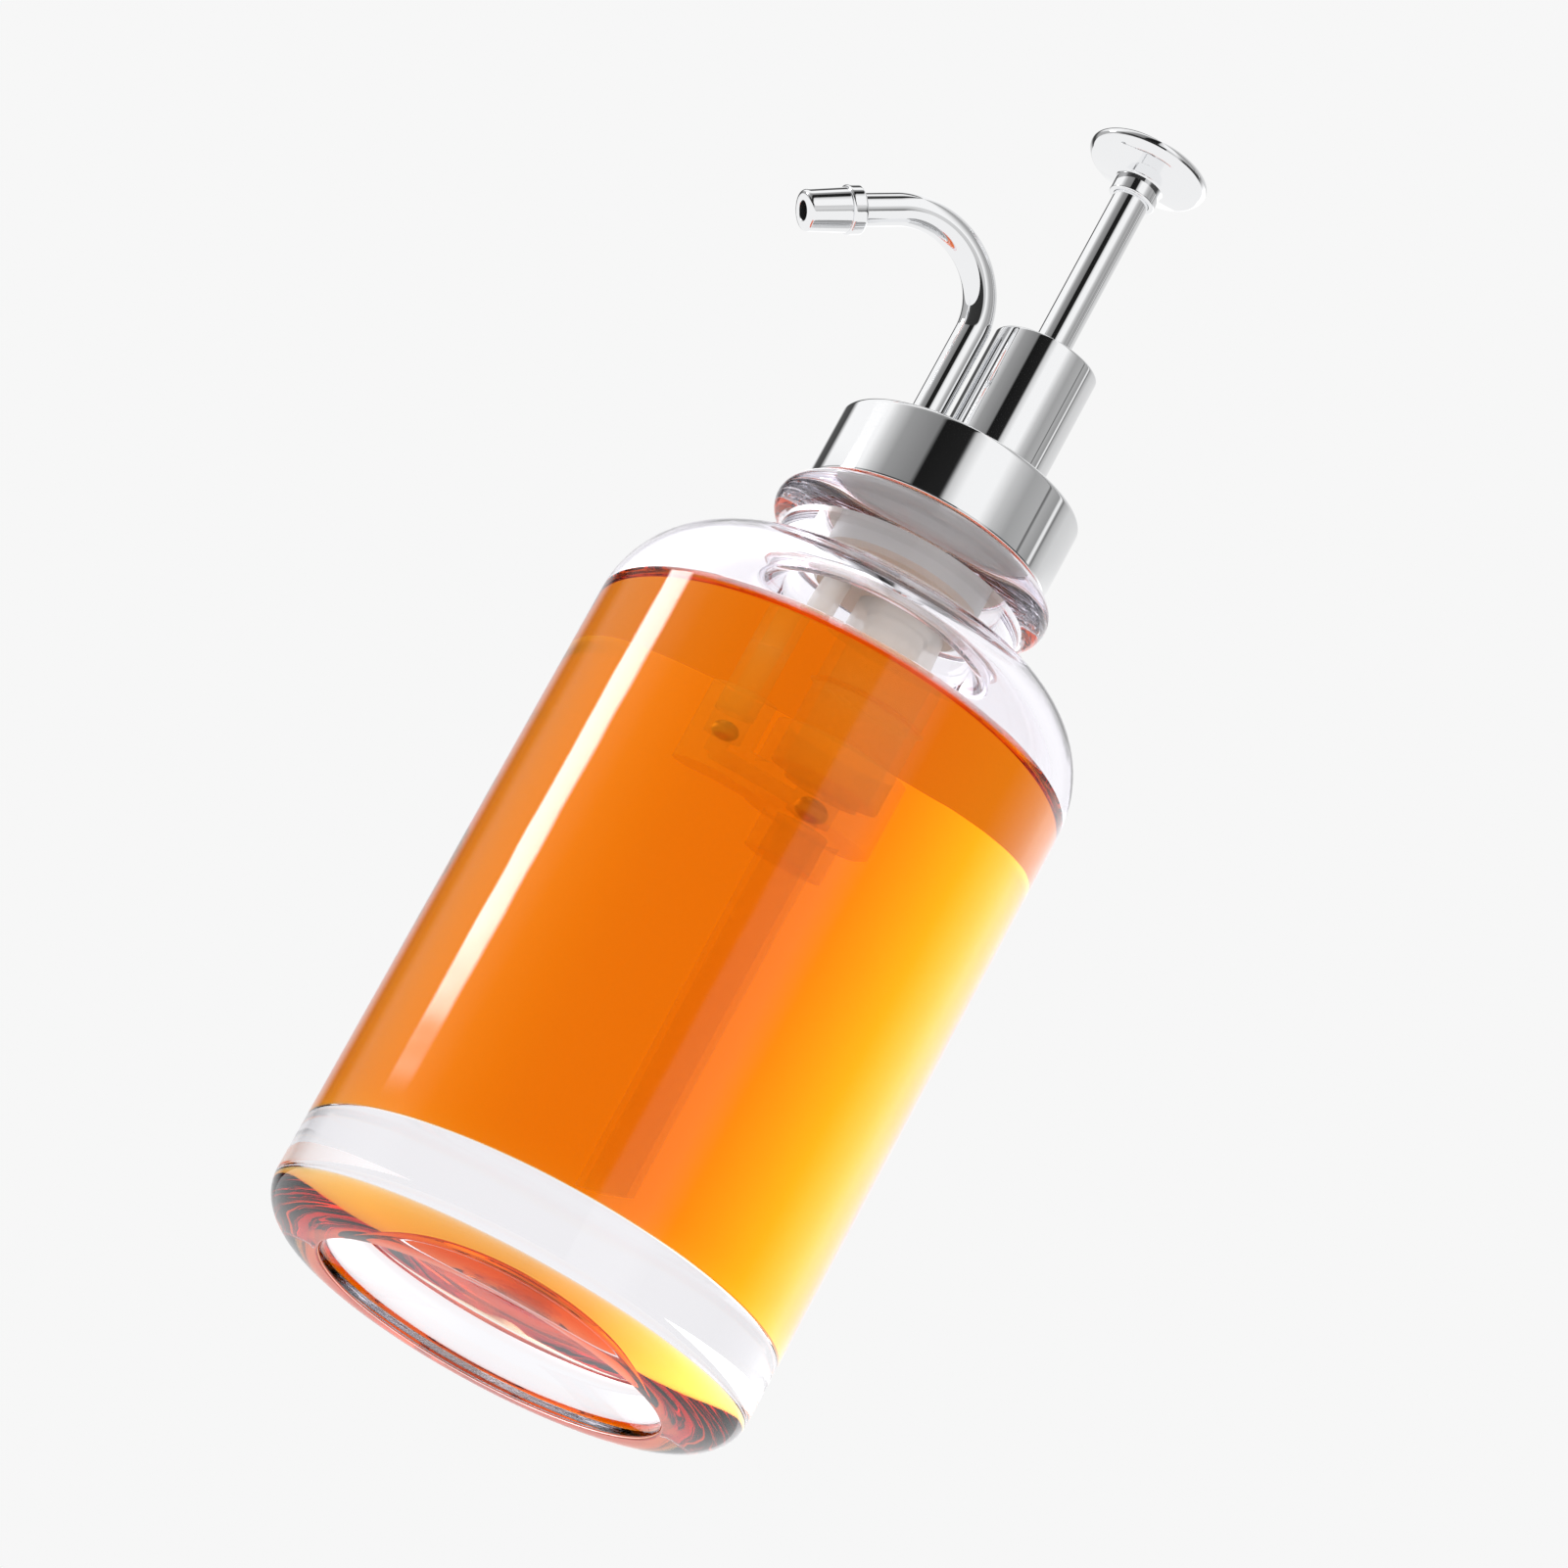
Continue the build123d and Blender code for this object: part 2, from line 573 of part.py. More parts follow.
# ---- One STEP file for each piece -------------------------------------------------------
pieces = {
    "glass_bottle": glass_bottle,
    "syrup": syrup,
    "neck_gasket": neck_gasket,
    "cap_shell": cap_shell,
    "cap_liner": cap_liner,
    "neck_insert": neck_insert,
    "pump_housing": pump_housing,
    "guide_bush": guide_bush,
    "return_spring": return_spring,
    "rod_seal": rod_seal,
    "seal_gland": seal_gland,
    "pump_barrel": pump_barrel,
    "valve_body": valve_body,
    "valve_cage": valve_cage,
    "inlet_ball": inlet_ball,
    "outlet_ball": outlet_ball,
    "delivery_tube": delivery_tube,
    "dip_tube": dip_tube,
    "spout_tube": spout_tube,
    "spout_seal": spout_seal,
    "nozzle_collar": nozzle_collar,
    "nozzle_tip": nozzle_tip,
    "press_knob": press_knob,
    "plunger_rod": plunger_rod,
    "stop_collar": stop_collar,
    "piston": piston,
    "piston_seal": piston_seal,
    "piston_nut": piston_nut,
}
os.makedirs("parts", exist_ok=True)
for name, piece in pieces.items():
    piece.part.label = name
    export_step(piece.part, f"parts/{name}.step")
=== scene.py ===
"""Looks of the syrup dispenser: glass, syrup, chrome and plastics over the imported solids.

Lengths are in millimetres until a mesh is made. +Z is up and the spout points to -X.
"""
import json
import math

import bmesh
import bpy
from mathutils import Matrix, Vector

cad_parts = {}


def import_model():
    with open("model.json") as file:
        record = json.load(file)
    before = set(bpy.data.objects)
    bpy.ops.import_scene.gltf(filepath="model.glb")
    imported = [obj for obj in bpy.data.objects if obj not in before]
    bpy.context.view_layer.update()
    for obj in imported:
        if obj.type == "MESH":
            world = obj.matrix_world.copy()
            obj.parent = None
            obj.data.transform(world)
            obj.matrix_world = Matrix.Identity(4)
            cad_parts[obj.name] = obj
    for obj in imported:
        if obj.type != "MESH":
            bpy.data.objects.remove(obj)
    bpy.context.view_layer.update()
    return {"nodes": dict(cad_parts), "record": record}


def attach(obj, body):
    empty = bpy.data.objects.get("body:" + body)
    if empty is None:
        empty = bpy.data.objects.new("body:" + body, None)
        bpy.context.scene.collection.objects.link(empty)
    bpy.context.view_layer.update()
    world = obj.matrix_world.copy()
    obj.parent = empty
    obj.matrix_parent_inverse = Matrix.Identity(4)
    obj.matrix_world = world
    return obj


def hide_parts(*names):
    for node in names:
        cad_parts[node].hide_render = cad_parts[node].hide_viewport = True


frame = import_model()

MM = 0.001
ROUND = 256               # segments round the bottle and the cap
WHITE = 0.93              # linear value of the plain background

# ---- Bottle -----------------------------------------------------------------------------
BODY_R = 40.0
BODY_WALL = 3.4
HEEL_W = 9.5
HEEL_H = 7.5
FOOT_BORE_R = 28.9
FOOT_EDGE_R = 0.6
PUNT_R = 27.5
PUNT_Z = 8.0
PUNT_RISE = 1.2
PUNT_CORNER_R = 2.0
FLOOR_Z = 18.0
FLOOR_CORNER_R = 5.0
SHOULDER_Z = 112.0
SHOULDER_R = 17.4
SHOULDER_WALL = 3.4
SHOULDER_SWEEP = math.radians(80)
NECK_R = 20.7
NECK_H = 7.0
NECK_CREASE_R = 0.8
BEAD_ROUND_R = 3.2
BEAD_STAND_OUT = 2.8
BEAD_CREASE_R = 0.4
FINISH_R = 18.6
FINISH_H = 9.6
BORE_R = 16.4
BORE_CREASE_R = 6.0
LIP_EDGE_R = 0.8
THREAD_CREST = 0.55
THREAD_PITCH = 3.04
THREAD_TURNS = 1.5
THREAD_START = 2.2        # from the bead up to the middle of the first turn
THREAD_HALF_W = 1.05
THREAD_FLANK = 0.6
THREAD_FADE = 0.07        # turns over which an end of the thread runs out
THREAD_CLEAR_LOW = 0.6    # plain finish left below and above the thread
THREAD_CLEAR_HIGH = 1.0

# ---- Syrup ------------------------------------------------------------------------------
SYRUP_Z = 112.0
SYRUP_GAP = 0.05
MENISCUS_H = 1.3
MENISCUS_W = 2.6
MENISCUS_POWER = 2.6

# ---- Chrome -----------------------------------------------------------------------------
PUMP_X = 3.3
SPOUT_X = -9.3
CAP_R = 20.85
CAP_WALL = 0.7
CAP_TOP_WALL = 1.1
CAP_BOTTOM_Z = 143.78
CAP_TOP_Z = 157.18
TOWER_R = 9.0
TOWER_BORE_R = 6.0
TOWER_TOP_Z = 181.38
SPIGOT_R = 7.6            # the tower's foot, which goes down through the cap
SPIGOT_H = 7.0
BUSH_R = 4.65
BUSH_H = 2.8
ROD_R = 3.0
ROD_BOTTOM_Z = 131.58
STUD_R = 1.7
STUD_BOTTOM_Z = 125.28
KNOB_Z = 211.78
KNOB_SOCKET_H = 3.0
KNOB_COLLAR_R = 3.9
KNOB_COLLAR_H = 3.2
KNOB_DISH_R = 9.2
KNOB_DISH_RISE = 1.4
KNOB_R = 10.15
KNOB_BULGE_H = 1.5
KNOB_RIM_H = 2.7
KNOB_TOP_R = 9.7
KNOB_CROWN = 0.9
SPOUT_R = 2.7
SPOUT_BOTTOM_Z = 149.18
SPOUT_BEND_Z = 177.28
SPOUT_BEND_R = 12.8
SPOUT_BEND = math.radians(125)
SPOUT_BEND_STEPS = 96
SPOUT_SIDES = 96
SPOUT_RUN = 6.5
TUBE_FIT = 0.05
TUBE_IN_TIP = 3.2         # how far the tube goes into the nozzle
COLLAR_R = 3.95
COLLAR_LEN = 2.4
NOZZLE_BACK_R = 3.6
NOZZLE_FRONT_R = 3.3
NOZZLE_LEN = 7.2
NOZZLE_BORE_R = 1.55
BOTTOM_EDGE_R = 0.2
EDGE_R = 0.15

# ---- Camera -----------------------------------------------------------------------------
EYE = (-0.2800, -0.9764, -0.2267)     # metres
LENS = 159.6
CAMERA_TURN = math.radians(15.95)
CAMERA_TILT = math.radians(17.76)
CAMERA_ROLL = math.radians(28.57)


# ---- Mesh helpers -----------------------------------------------------------------------
def rounded(points, step=9.0, support=0.2):
    """A profile through (r, z) corners; a third number is the fillet radius of that corner.

    Straight runs get a support point near each end, so that smooth shading stays flat there.
    """
    path = []
    for i, point in enumerate(points):
        here = Vector(point[:2])
        radius = point[2] if len(point) > 2 else 0
        if not radius:
            path.append([here])
            continue
        to_last = (Vector(points[i - 1][:2]) - here).normalized()
        to_next = (Vector(points[(i + 1) % len(points)][:2]) - here).normalized()
        half = math.acos(max(-1, min(1, to_last.dot(to_next)))) / 2
        centre = here + (to_last + to_next).normalized() * radius / math.sin(half)
        start = here + to_last * radius / math.tan(half) - centre
        end = here + to_next * radius / math.tan(half) - centre
        sweep = math.pi - 2 * half
        count = max(3, round(math.degrees(sweep) / step))
        turn = math.copysign(sweep, start.x * end.y - start.y * end.x)
        path.append([centre + Matrix.Rotation(turn * k / count, 2) @ start for k in range(count + 1)])
    profile = []
    for bend in path:
        if profile:
            run = bend[0] - profile[-1]
            if run.length > 4 * support:
                inset = run.normalized() * support
                profile += [profile[-1] + inset, bend[0] - inset]
        profile += bend
    return profile


def piece(name, shape, body, node, slot, *materials):
    """Makes an object from a bmesh, ties it to its body and hides the CAD node it stands for; the slot is not
    used.
    """
    mesh = bpy.data.meshes.new(name)
    bmesh.ops.recalc_face_normals(shape, faces=shape.faces)
    shape.to_mesh(mesh)
    shape.free()
    mesh.shade_smooth()
    mesh.set_sharp_from_angle(angle=math.radians(32))
    obj = bpy.data.objects.new(name, mesh)
    bpy.context.scene.collection.objects.link(obj)
    for made in materials:
        mesh.materials.append(made)
    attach(obj, body)
    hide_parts(node)
    return obj


def lathe(profile, place=Matrix(), segments=192, closed=False, swell=None):
    """Turns a profile in millimetres round the Z axis of place."""
    shape = bmesh.new()
    rings = []
    for r, z in profile:
        if r < 1e-6:
            rings.append([shape.verts.new(place @ Vector((0, 0, z)) * MM)])
            continue
        ring = []
        for k in range(segments):
            angle = math.tau * k / segments
            reach = r + (swell(r, z, k / segments) if swell else 0)
            spot = Vector((reach * math.cos(angle), reach * math.sin(angle), z))
            ring.append(shape.verts.new(place @ spot * MM))
        rings.append(ring)
    pairs = list(zip(rings, rings[1:]))
    if closed:
        pairs.append((rings[-1], rings[0]))
    for low, high in pairs:
        for k in range(segments):
            this, following = k, k + 1
            quad = [low[this % len(low)], low[following % len(low)],
                    high[following % len(high)], high[this % len(high)]]
            corners = list(dict.fromkeys(quad))
            if len(corners) > 2:
                shape.faces.new(corners)
    return shape


def radius_and_height(face):
    """Where a face of a turned piece lies, in millimetres."""
    return math.hypot(*face.center[:2]) / MM, face.center.z / MM


# ---- Node helpers -----------------------------------------------------------------------
def add(tree, kind, values=None, **settings):
    """A new node, with its settings and its inputs: a socket is linked, anything else is a value."""
    made = tree.nodes.new(kind)
    for key, value in settings.items():
        setattr(made, key, value)
    for key, value in (values or {}).items():
        if isinstance(value, bpy.types.NodeSocket):
            tree.links.new(value, made.inputs[key])
        else:
            made.inputs[key].default_value = value
    return made


def new_material(name):
    made = bpy.data.materials.new(name)
    made.use_nodes = True
    made.node_tree.nodes.clear()
    return made, made.node_tree


def output(tree, surface, volume=None):
    values = {"Surface": surface}
    if volume:
        values["Volume"] = volume
    add(tree, "ShaderNodeOutputMaterial", values)


def maths(tree, operation, *values):
    return add(tree, "ShaderNodeMath", dict(enumerate(values)), operation=operation).outputs["Value"]


def mixed(tree, factor, first, second):
    """The first shader where the factor is 0, and the second where it is 1."""
    return add(tree, "ShaderNodeMixShader", {0: factor, 1: first, 2: second}).outputs["Shader"]


def shader(tree, kind, **values):
    """A shader node's output; an underscore in a keyword stands for a space in the input's name."""
    named = {key.replace("_", " "): value for key, value in values.items()}
    return add(tree, "ShaderNode" + kind, named).outputs[0]


def object_space(tree):
    return add(tree, "ShaderNodeTexCoord").outputs["Object"]


def noise(tree, scale, detail=3.0):
    """Solid noise in the object's own space; the scale is in features per metre."""
    values = {"Vector": object_space(tree), "Scale": scale, "Detail": detail, "Roughness": 0.5}
    return add(tree, "ShaderNodeTexNoise", values).outputs["Fac"]


def spread(tree, value, low, high, start=0.3, end=0.7, **settings):
    """Takes start..end to low..high; without start and end, it takes the noise's usual range."""
    values = {"Value": value, "From Min": start, "From Max": end, "To Min": low, "To Max": high}
    return add(tree, "ShaderNodeMapRange", values, **settings).outputs["Result"]


def bump(tree, height, distance):
    values = {"Height": height, "Distance": distance, "Strength": 1.0}
    return add(tree, "ShaderNodeBump", values).outputs["Normal"]


# ---- Materials --------------------------------------------------------------------------
def opaque(name, colour, metallic, rough, grain, grain_depth, tone=0.04):
    """A Principled material whose tone, roughness and fine relief vary with solid noise."""
    made, tree = new_material(name)
    broad = noise(tree, grain / 12)
    dark = tuple(c * (1 - tone) for c in colour)
    tint = add(tree, "ShaderNodeMix", {"Factor": broad, "A": (*dark, 1), "B": (*colour, 1)}, data_type="RGBA")
    output(tree, shader(tree, "BsdfPrincipled", Base_Color=tint.outputs["Result"], Metallic=metallic,
                        Roughness=spread(tree, broad, rough * 0.8, rough * 1.2),
                        Normal=bump(tree, noise(tree, grain), grain_depth)))
    return made


def lets_light_in(tree, surface):
    """Lamps and bounced light pass straight through; what the eye and mirrors see refracts."""
    ray = add(tree, "ShaderNodeLightPath").outputs
    passes = maths(tree, "MAXIMUM", ray["Is Shadow Ray"], ray["Is Diffuse Ray"])
    return mixed(tree, passes, surface, shader(tree, "BsdfTransparent"))


def glass():
    """Clear glass with the faint waves of a moulded wall."""
    made, tree = new_material("clear glass")
    waves = bump(tree, noise(tree, 70.0, detail=1.0), 0.00006)
    solid = shader(tree, "BsdfGlass", Color=(0.985, 0.98, 0.995, 1), Roughness=0.0, IOR=1.5, Normal=waves)
    output(tree, lets_light_in(tree, solid))
    return made


def wetted_glass():
    """The wall behind the syrup: the syrup's own side does the bending there."""
    made, tree = new_material("wetted glass")
    output(tree, shader(tree, "BsdfTransparent"))
    return made


def syrup():
    """Amber that deepens with the way through it; its side is seen from glass, its top from air."""
    made, tree = new_material("amber syrup")
    in_air = add(tree, "ShaderNodeAttribute", attribute_name="in_air").outputs["Fac"]
    side = shader(tree, "BsdfGlass", Color=(1, 1, 1, 1), Roughness=0.0, IOR=0.957)
    top = shader(tree, "BsdfGlass", Color=(1, 1, 1, 1), Roughness=0.0, IOR=1.435)
    depth = add(tree, "ShaderNodeVolumeAbsorption", {"Color": (0.985, 0.730, 0.0, 1), "Density": 84.0})
    output(tree, lets_light_in(tree, mixed(tree, in_air, side, top)), depth.outputs["Volume"])
    return made


def milky():
    """Natural plastic, thin enough to see through, and clearest where the syrup wets it."""
    made, tree = new_material("milky plastic")
    solid = shader(tree, "BsdfPrincipled", Base_Color=(0.86, 0.84, 0.83, 1), Roughness=0.3,
                   Normal=bump(tree, noise(tree, 1500.0), 0.000006))
    height = add(tree, "ShaderNodeSeparateXYZ", {"Vector": object_space(tree)}).outputs["Z"]
    dry = spread(tree, height, 0.17, 0.5, start=SYRUP_Z * MM, end=(SYRUP_Z + 3) * MM)
    uneven = spread(tree, noise(tree, 90.0), 0.0, 0.06)
    output(tree, mixed(tree, maths(tree, "ADD", dry, uneven), shader(tree, "BsdfTransparent"), solid))
    return made


chrome = opaque("mirror chrome", (0.93, 0.935, 0.945), 1.0, 0.035, 900.0, 0.0000004, tone=0.015)
# Painted shade: the nozzle's bore is made near black to stand for the shade inside the hole.
bore_painted_shade = opaque("nozzle bore painted shade", (0.05, 0.05, 0.052), 0.6, 0.5, 2500.0, 0.00001)
clear_glass = glass()
behind_syrup = wetted_glass()
amber = syrup()
packed_finishes = {       # by the record's slot, for the solids that are shown as packed
    "grey_plastic": opaque("moulded grey plastic", (0.46, 0.455, 0.46), 0.0, 0.42, 1500.0, 0.00001),
    "white_plastic": milky(),
    "rubber": opaque("black rubber", (0.03, 0.03, 0.032), 0.0, 0.6, 2500.0, 0.00002),
    "steel": opaque("bright steel", (0.62, 0.63, 0.65), 1.0, 0.22, 2500.0, 0.000004),
}

# ---- Bottle and syrup -------------------------------------------------------------------
slope = math.tan(math.pi / 2 - SHOULDER_SWEEP)
crest_z = SHOULDER_Z + SHOULDER_R * math.tan(SHOULDER_SWEEP / 2)
neck_z = crest_z + (BODY_R - NECK_R) * slope
cavity_r = BODY_R - BODY_WALL
inner_crest_z = SHOULDER_Z + (SHOULDER_R - SHOULDER_WALL) * math.tan(SHOULDER_SWEEP / 2)
bore_z = inner_crest_z + (cavity_r - BORE_R) * slope
bead_r = NECK_R + BEAD_STAND_OUT - BEAD_ROUND_R
bead_turn = math.acos((NECK_R - bead_r) / BEAD_ROUND_R)
bead_z = neck_z + NECK_H + BEAD_ROUND_R * math.sin(bead_turn)
bead_top_z = bead_z + BEAD_ROUND_R
lip_z = bead_top_z + FINISH_H
thread_low_z = bead_top_z + THREAD_CLEAR_LOW
thread_high_z = lip_z - THREAD_CLEAR_HIGH
wet_z = SYRUP_Z + MENISCUS_H


def thread(r, z, turn):
    """How far the bottle's thread stands out of the finish at this height and turn."""
    if abs(r - FINISH_R) > 0.01 or not thread_low_z < z < thread_high_z:
        return 0.0
    out = 0.0
    for t in (turn, turn + 1):
        if t < THREAD_TURNS:
            away = abs(z - (bead_top_z + THREAD_START + THREAD_PITCH * t))
            fade = min(1, t / THREAD_FADE, (THREAD_TURNS - t) / THREAD_FADE)
            out = max(out, fade * max(0, min(1, (THREAD_HALF_W - away) / THREAD_FLANK)))
    return THREAD_CREST * out


def outer_profile():
    """From the middle of the recess under the bottle, round the heel and up to the lip."""
    dome = [Vector((PUNT_R * k / 12, PUNT_Z + PUNT_RISE * (1 - (k / 12) ** 2))) for k in range(12)]
    foot_r = BODY_R - HEEL_W
    recess = rounded([dome[-1], (PUNT_R, PUNT_Z, PUNT_CORNER_R), (FOOT_BORE_R, 0, FOOT_EDGE_R), (foot_r, 0)],
                     step=5)
    heel = [Vector((foot_r + HEEL_W * math.sin(a), HEEL_H - HEEL_H * math.cos(a)))
            for a in (math.pi / 2 * k / 24 for k in range(1, 25))]
    neck_top = (NECK_R, neck_z + NECK_H)
    crease = (NECK_R, neck_z, NECK_CREASE_R)
    wall = rounded([heel[-1], (BODY_R, crest_z, SHOULDER_R), crease, neck_top], step=5)
    bead = [Vector((bead_r + BEAD_ROUND_R * math.cos(a), bead_z + BEAD_ROUND_R * math.sin(a)))
            for a in (bead_turn * (k / 24 - 1) + math.pi / 2 * k / 24 for k in range(25))]
    plain = rounded([bead[-1], (FINISH_R, bead_top_z, BEAD_CREASE_R), (FINISH_R, thread_low_z)])
    rows = 40
    threads = [Vector((FINISH_R, thread_low_z + (thread_high_z - thread_low_z) * k / rows))
               for k in range(1, rows + 1)]
    return dome[:-1] + recess + heel[:-1] + wall[:-1] + bead + plain[1:] + threads


def inner_profile():
    """From below the lip, over it and down the bore to the middle of the floor."""
    crest = (cavity_r, inner_crest_z, SHOULDER_R - SHOULDER_WALL)
    upper = rounded([(FINISH_R, thread_high_z), (FINISH_R, lip_z, LIP_EDGE_R), (BORE_R, lip_z, LIP_EDGE_R),
                     (BORE_R, bore_z, BORE_CREASE_R), crest, (cavity_r, wet_z)], step=5)
    wetted = rounded([(cavity_r, wet_z), (cavity_r, FLOOR_Z, FLOOR_CORNER_R), (0, FLOOR_Z)], step=5)
    return upper[1:] + wetted[1:]


def bottle():
    shape = lathe(outer_profile() + inner_profile(), segments=ROUND, swell=thread)
    made = piece("bottle_glass", shape, "bottle", "glass_bottle", "glass", clear_glass, behind_syrup)
    for face in made.data.polygons:
        r, z = radius_and_height(face)
        inside = r < cavity_r + 0.01 and FLOOR_Z - 0.01 < z < wet_z
        face.material_index = 1 if inside else 0


def filling():
    """The syrup in one closed skin, with the rise at its edge where it wets the glass."""
    wall = cavity_r - SYRUP_GAP
    floor = FLOOR_Z + SYRUP_GAP
    skin = rounded([(0, floor), (wall, floor, FLOOR_CORNER_R - SYRUP_GAP), (wall, wet_z)], step=5)
    edge = [Vector((wall - MENISCUS_W * k / 10, SYRUP_Z + MENISCUS_H * (1 - k / 10) ** MENISCUS_POWER))
            for k in range(1, 11)]
    top = [Vector((wall * k / 6, SYRUP_Z)) for k in (5, 3, 1, 0)]
    made = piece("syrup_filling", lathe(skin + edge + top, segments=ROUND), "bottle", "syrup", "syrup", amber)
    in_air = made.data.attributes.new("in_air", "FLOAT", "FACE")
    for face in made.data.polygons:
        r, z = radius_and_height(face)
        in_air.data[face.index].value = 1.0 if z > SYRUP_Z - 0.01 and r < wall - 0.01 else 0.0


# ---- Chrome -----------------------------------------------------------------------------
on_pump = Matrix.Translation((PUMP_X, 0, 0))


def cap():
    inner_r = CAP_R - CAP_WALL
    ceiling_z = CAP_TOP_Z - CAP_TOP_WALL
    profile = rounded([(0, ceiling_z), (inner_r, ceiling_z, 0.3), (inner_r, CAP_BOTTOM_Z, EDGE_R),
                       (CAP_R, CAP_BOTTOM_Z, 0.25), (CAP_R, CAP_TOP_Z, 0.9), (0, CAP_TOP_Z)])
    piece("cap_chrome", lathe(profile, segments=ROUND), "head", "cap_shell", "chrome", chrome)


def tower():
    bush_z = TOWER_TOP_Z - BUSH_H
    foot_z = CAP_TOP_Z - SPIGOT_H
    profile = rounded([(BUSH_R, bush_z), (BUSH_R, TOWER_TOP_Z, 0.3), (TOWER_R, TOWER_TOP_Z, 0.5),
                       (TOWER_R, CAP_TOP_Z, 0.12), (SPIGOT_R, CAP_TOP_Z), (SPIGOT_R, foot_z),
                       (TOWER_BORE_R, foot_z), (TOWER_BORE_R, bush_z)])
    piece("tower_chrome", lathe(profile, on_pump, closed=True), "head", "pump_housing", "chrome", chrome)


def rod():
    top_z = KNOB_Z + KNOB_SOCKET_H
    profile = rounded([(0, STUD_BOTTOM_Z), (STUD_R, STUD_BOTTOM_Z, BOTTOM_EDGE_R),
                       (STUD_R, ROD_BOTTOM_Z - 0.01), (ROD_R, ROD_BOTTOM_Z, BOTTOM_EDGE_R),
                       (ROD_R, top_z), (0, top_z)])
    piece("rod_chrome", lathe(profile, on_pump), "plunger", "plunger_rod", "chrome", chrome)


def knob():
    """A collar, a dished underside, a rim that swells at mid height, and a low crown."""
    socket_z = KNOB_Z + KNOB_SOCKET_H
    dish_z = KNOB_Z + KNOB_COLLAR_H
    rim_z = dish_z + KNOB_DISH_RISE
    top_z = rim_z + KNOB_RIM_H
    bore_r = ROD_R + TUBE_FIT
    under = rounded([(bore_r, socket_z), (bore_r, KNOB_Z, EDGE_R), (KNOB_COLLAR_R, KNOB_Z, 0.3),
                     (KNOB_COLLAR_R, dish_z, 0.5), (KNOB_DISH_R, rim_z)])
    low, high = Vector((KNOB_DISH_R, rim_z)), Vector((KNOB_TOP_R, top_z))
    middle = Vector((KNOB_R, rim_z + KNOB_BULGE_H))
    rim = [(1 - t) * (1 - 2 * t) * low + 4 * t * (1 - t) * middle + t * (2 * t - 1) * high
           for t in (k / 16 for k in range(1, 17))]
    crown = [Vector((KNOB_TOP_R * (1 - k / 14), top_z + KNOB_CROWN * (1 - (1 - k / 14) ** 2)))
             for k in range(1, 15)]
    shape = lathe(under + rim + crown + [Vector((0, socket_z))], on_pump)
    piece("knob_chrome", shape, "plunger", "press_knob", "chrome", chrome)


def spout():
    """The gooseneck, up, round its bend and down; returns where its straight end begins."""
    path = [(Vector((SPOUT_X, 0, z)), 0.0) for z in (SPOUT_BOTTOM_Z, CAP_TOP_Z, SPOUT_BEND_Z - 0.2)]
    middle = Vector((SPOUT_X - SPOUT_BEND_R, 0, SPOUT_BEND_Z))
    for k in range(SPOUT_BEND_STEPS + 1):
        a = SPOUT_BEND * k / SPOUT_BEND_STEPS
        path.append((middle + SPOUT_BEND_R * Vector((math.cos(a), 0, math.sin(a))), a))
    way = Vector((-math.sin(SPOUT_BEND), 0, math.cos(SPOUT_BEND)))
    end = path[-1][0]
    tube_end = SPOUT_RUN + COLLAR_LEN + TUBE_IN_TIP
    path += [(end + way * run, SPOUT_BEND) for run in (0.2, SPOUT_RUN, tube_end)]
    side = Vector((0, 1, 0))
    shape = bmesh.new()
    rings = []
    for place, a in path:
        across = Vector((math.cos(a), 0, math.sin(a)))
        ring = []
        for k in range(SPOUT_SIDES):
            t = math.tau * k / SPOUT_SIDES
            reach = SPOUT_R * (across * math.cos(t) + side * math.sin(t))
            ring.append(shape.verts.new((place + reach) * MM))
        rings.append(ring)
    for low, high in zip(rings, rings[1:]):
        for k in range(SPOUT_SIDES):
            following = (k + 1) % SPOUT_SIDES
            shape.faces.new((low[k], low[following], high[following], high[k]))
    shape.faces.new(rings[0])
    shape.faces.new(rings[-1])
    piece("spout_chrome", shape, "head", "spout_tube", "chrome", chrome)
    turn = Matrix((side.cross(way), side, way)).transposed().to_4x4()
    return Matrix.Translation(end + way * SPOUT_RUN) @ turn


def nozzle(place):
    """The collar and the tapered tip, turned round the spout's straight end."""
    fit_r = SPOUT_R + TUBE_FIT
    collar = rounded([(fit_r, 0), (COLLAR_R, 0, 0.35), (COLLAR_R, COLLAR_LEN, 0.35), (fit_r, COLLAR_LEN)])
    piece("collar_chrome", lathe(collar, place, closed=True), "head", "nozzle_collar", "chrome", chrome)
    tip_end = COLLAR_LEN + NOZZLE_LEN
    tube_stop = COLLAR_LEN + TUBE_IN_TIP
    tip = rounded([(fit_r, COLLAR_LEN), (NOZZLE_BACK_R, COLLAR_LEN, 0.12), (NOZZLE_FRONT_R, tip_end, 0.7),
                   (NOZZLE_BORE_R, tip_end, EDGE_R), (NOZZLE_BORE_R, tube_stop), (fit_r, tube_stop)])
    made = piece("tip_chrome", lathe(tip, place, closed=True), "head", "nozzle_tip", "chrome",
                 chrome, bore_painted_shade)
    to_nozzle = place.inverted()
    # The faces inside the bore get the near-black painted shade.
    for face in made.data.polygons:
        spot = to_nozzle @ (face.center / MM)
        if math.hypot(spot.x, spot.y) < NOZZLE_BORE_R + 0.01:
            face.material_index = 1


bottle()
filling()
cap()
tower()
rod()
knob()
nozzle(spout())

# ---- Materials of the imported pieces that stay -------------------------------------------
for part in frame["record"]["subparts"]:
    solid = frame["nodes"][part["node"]]
    if not solid.hide_render:
        solid.data.materials.clear()
        solid.data.materials.append(packed_finishes[part["material_slot"]])


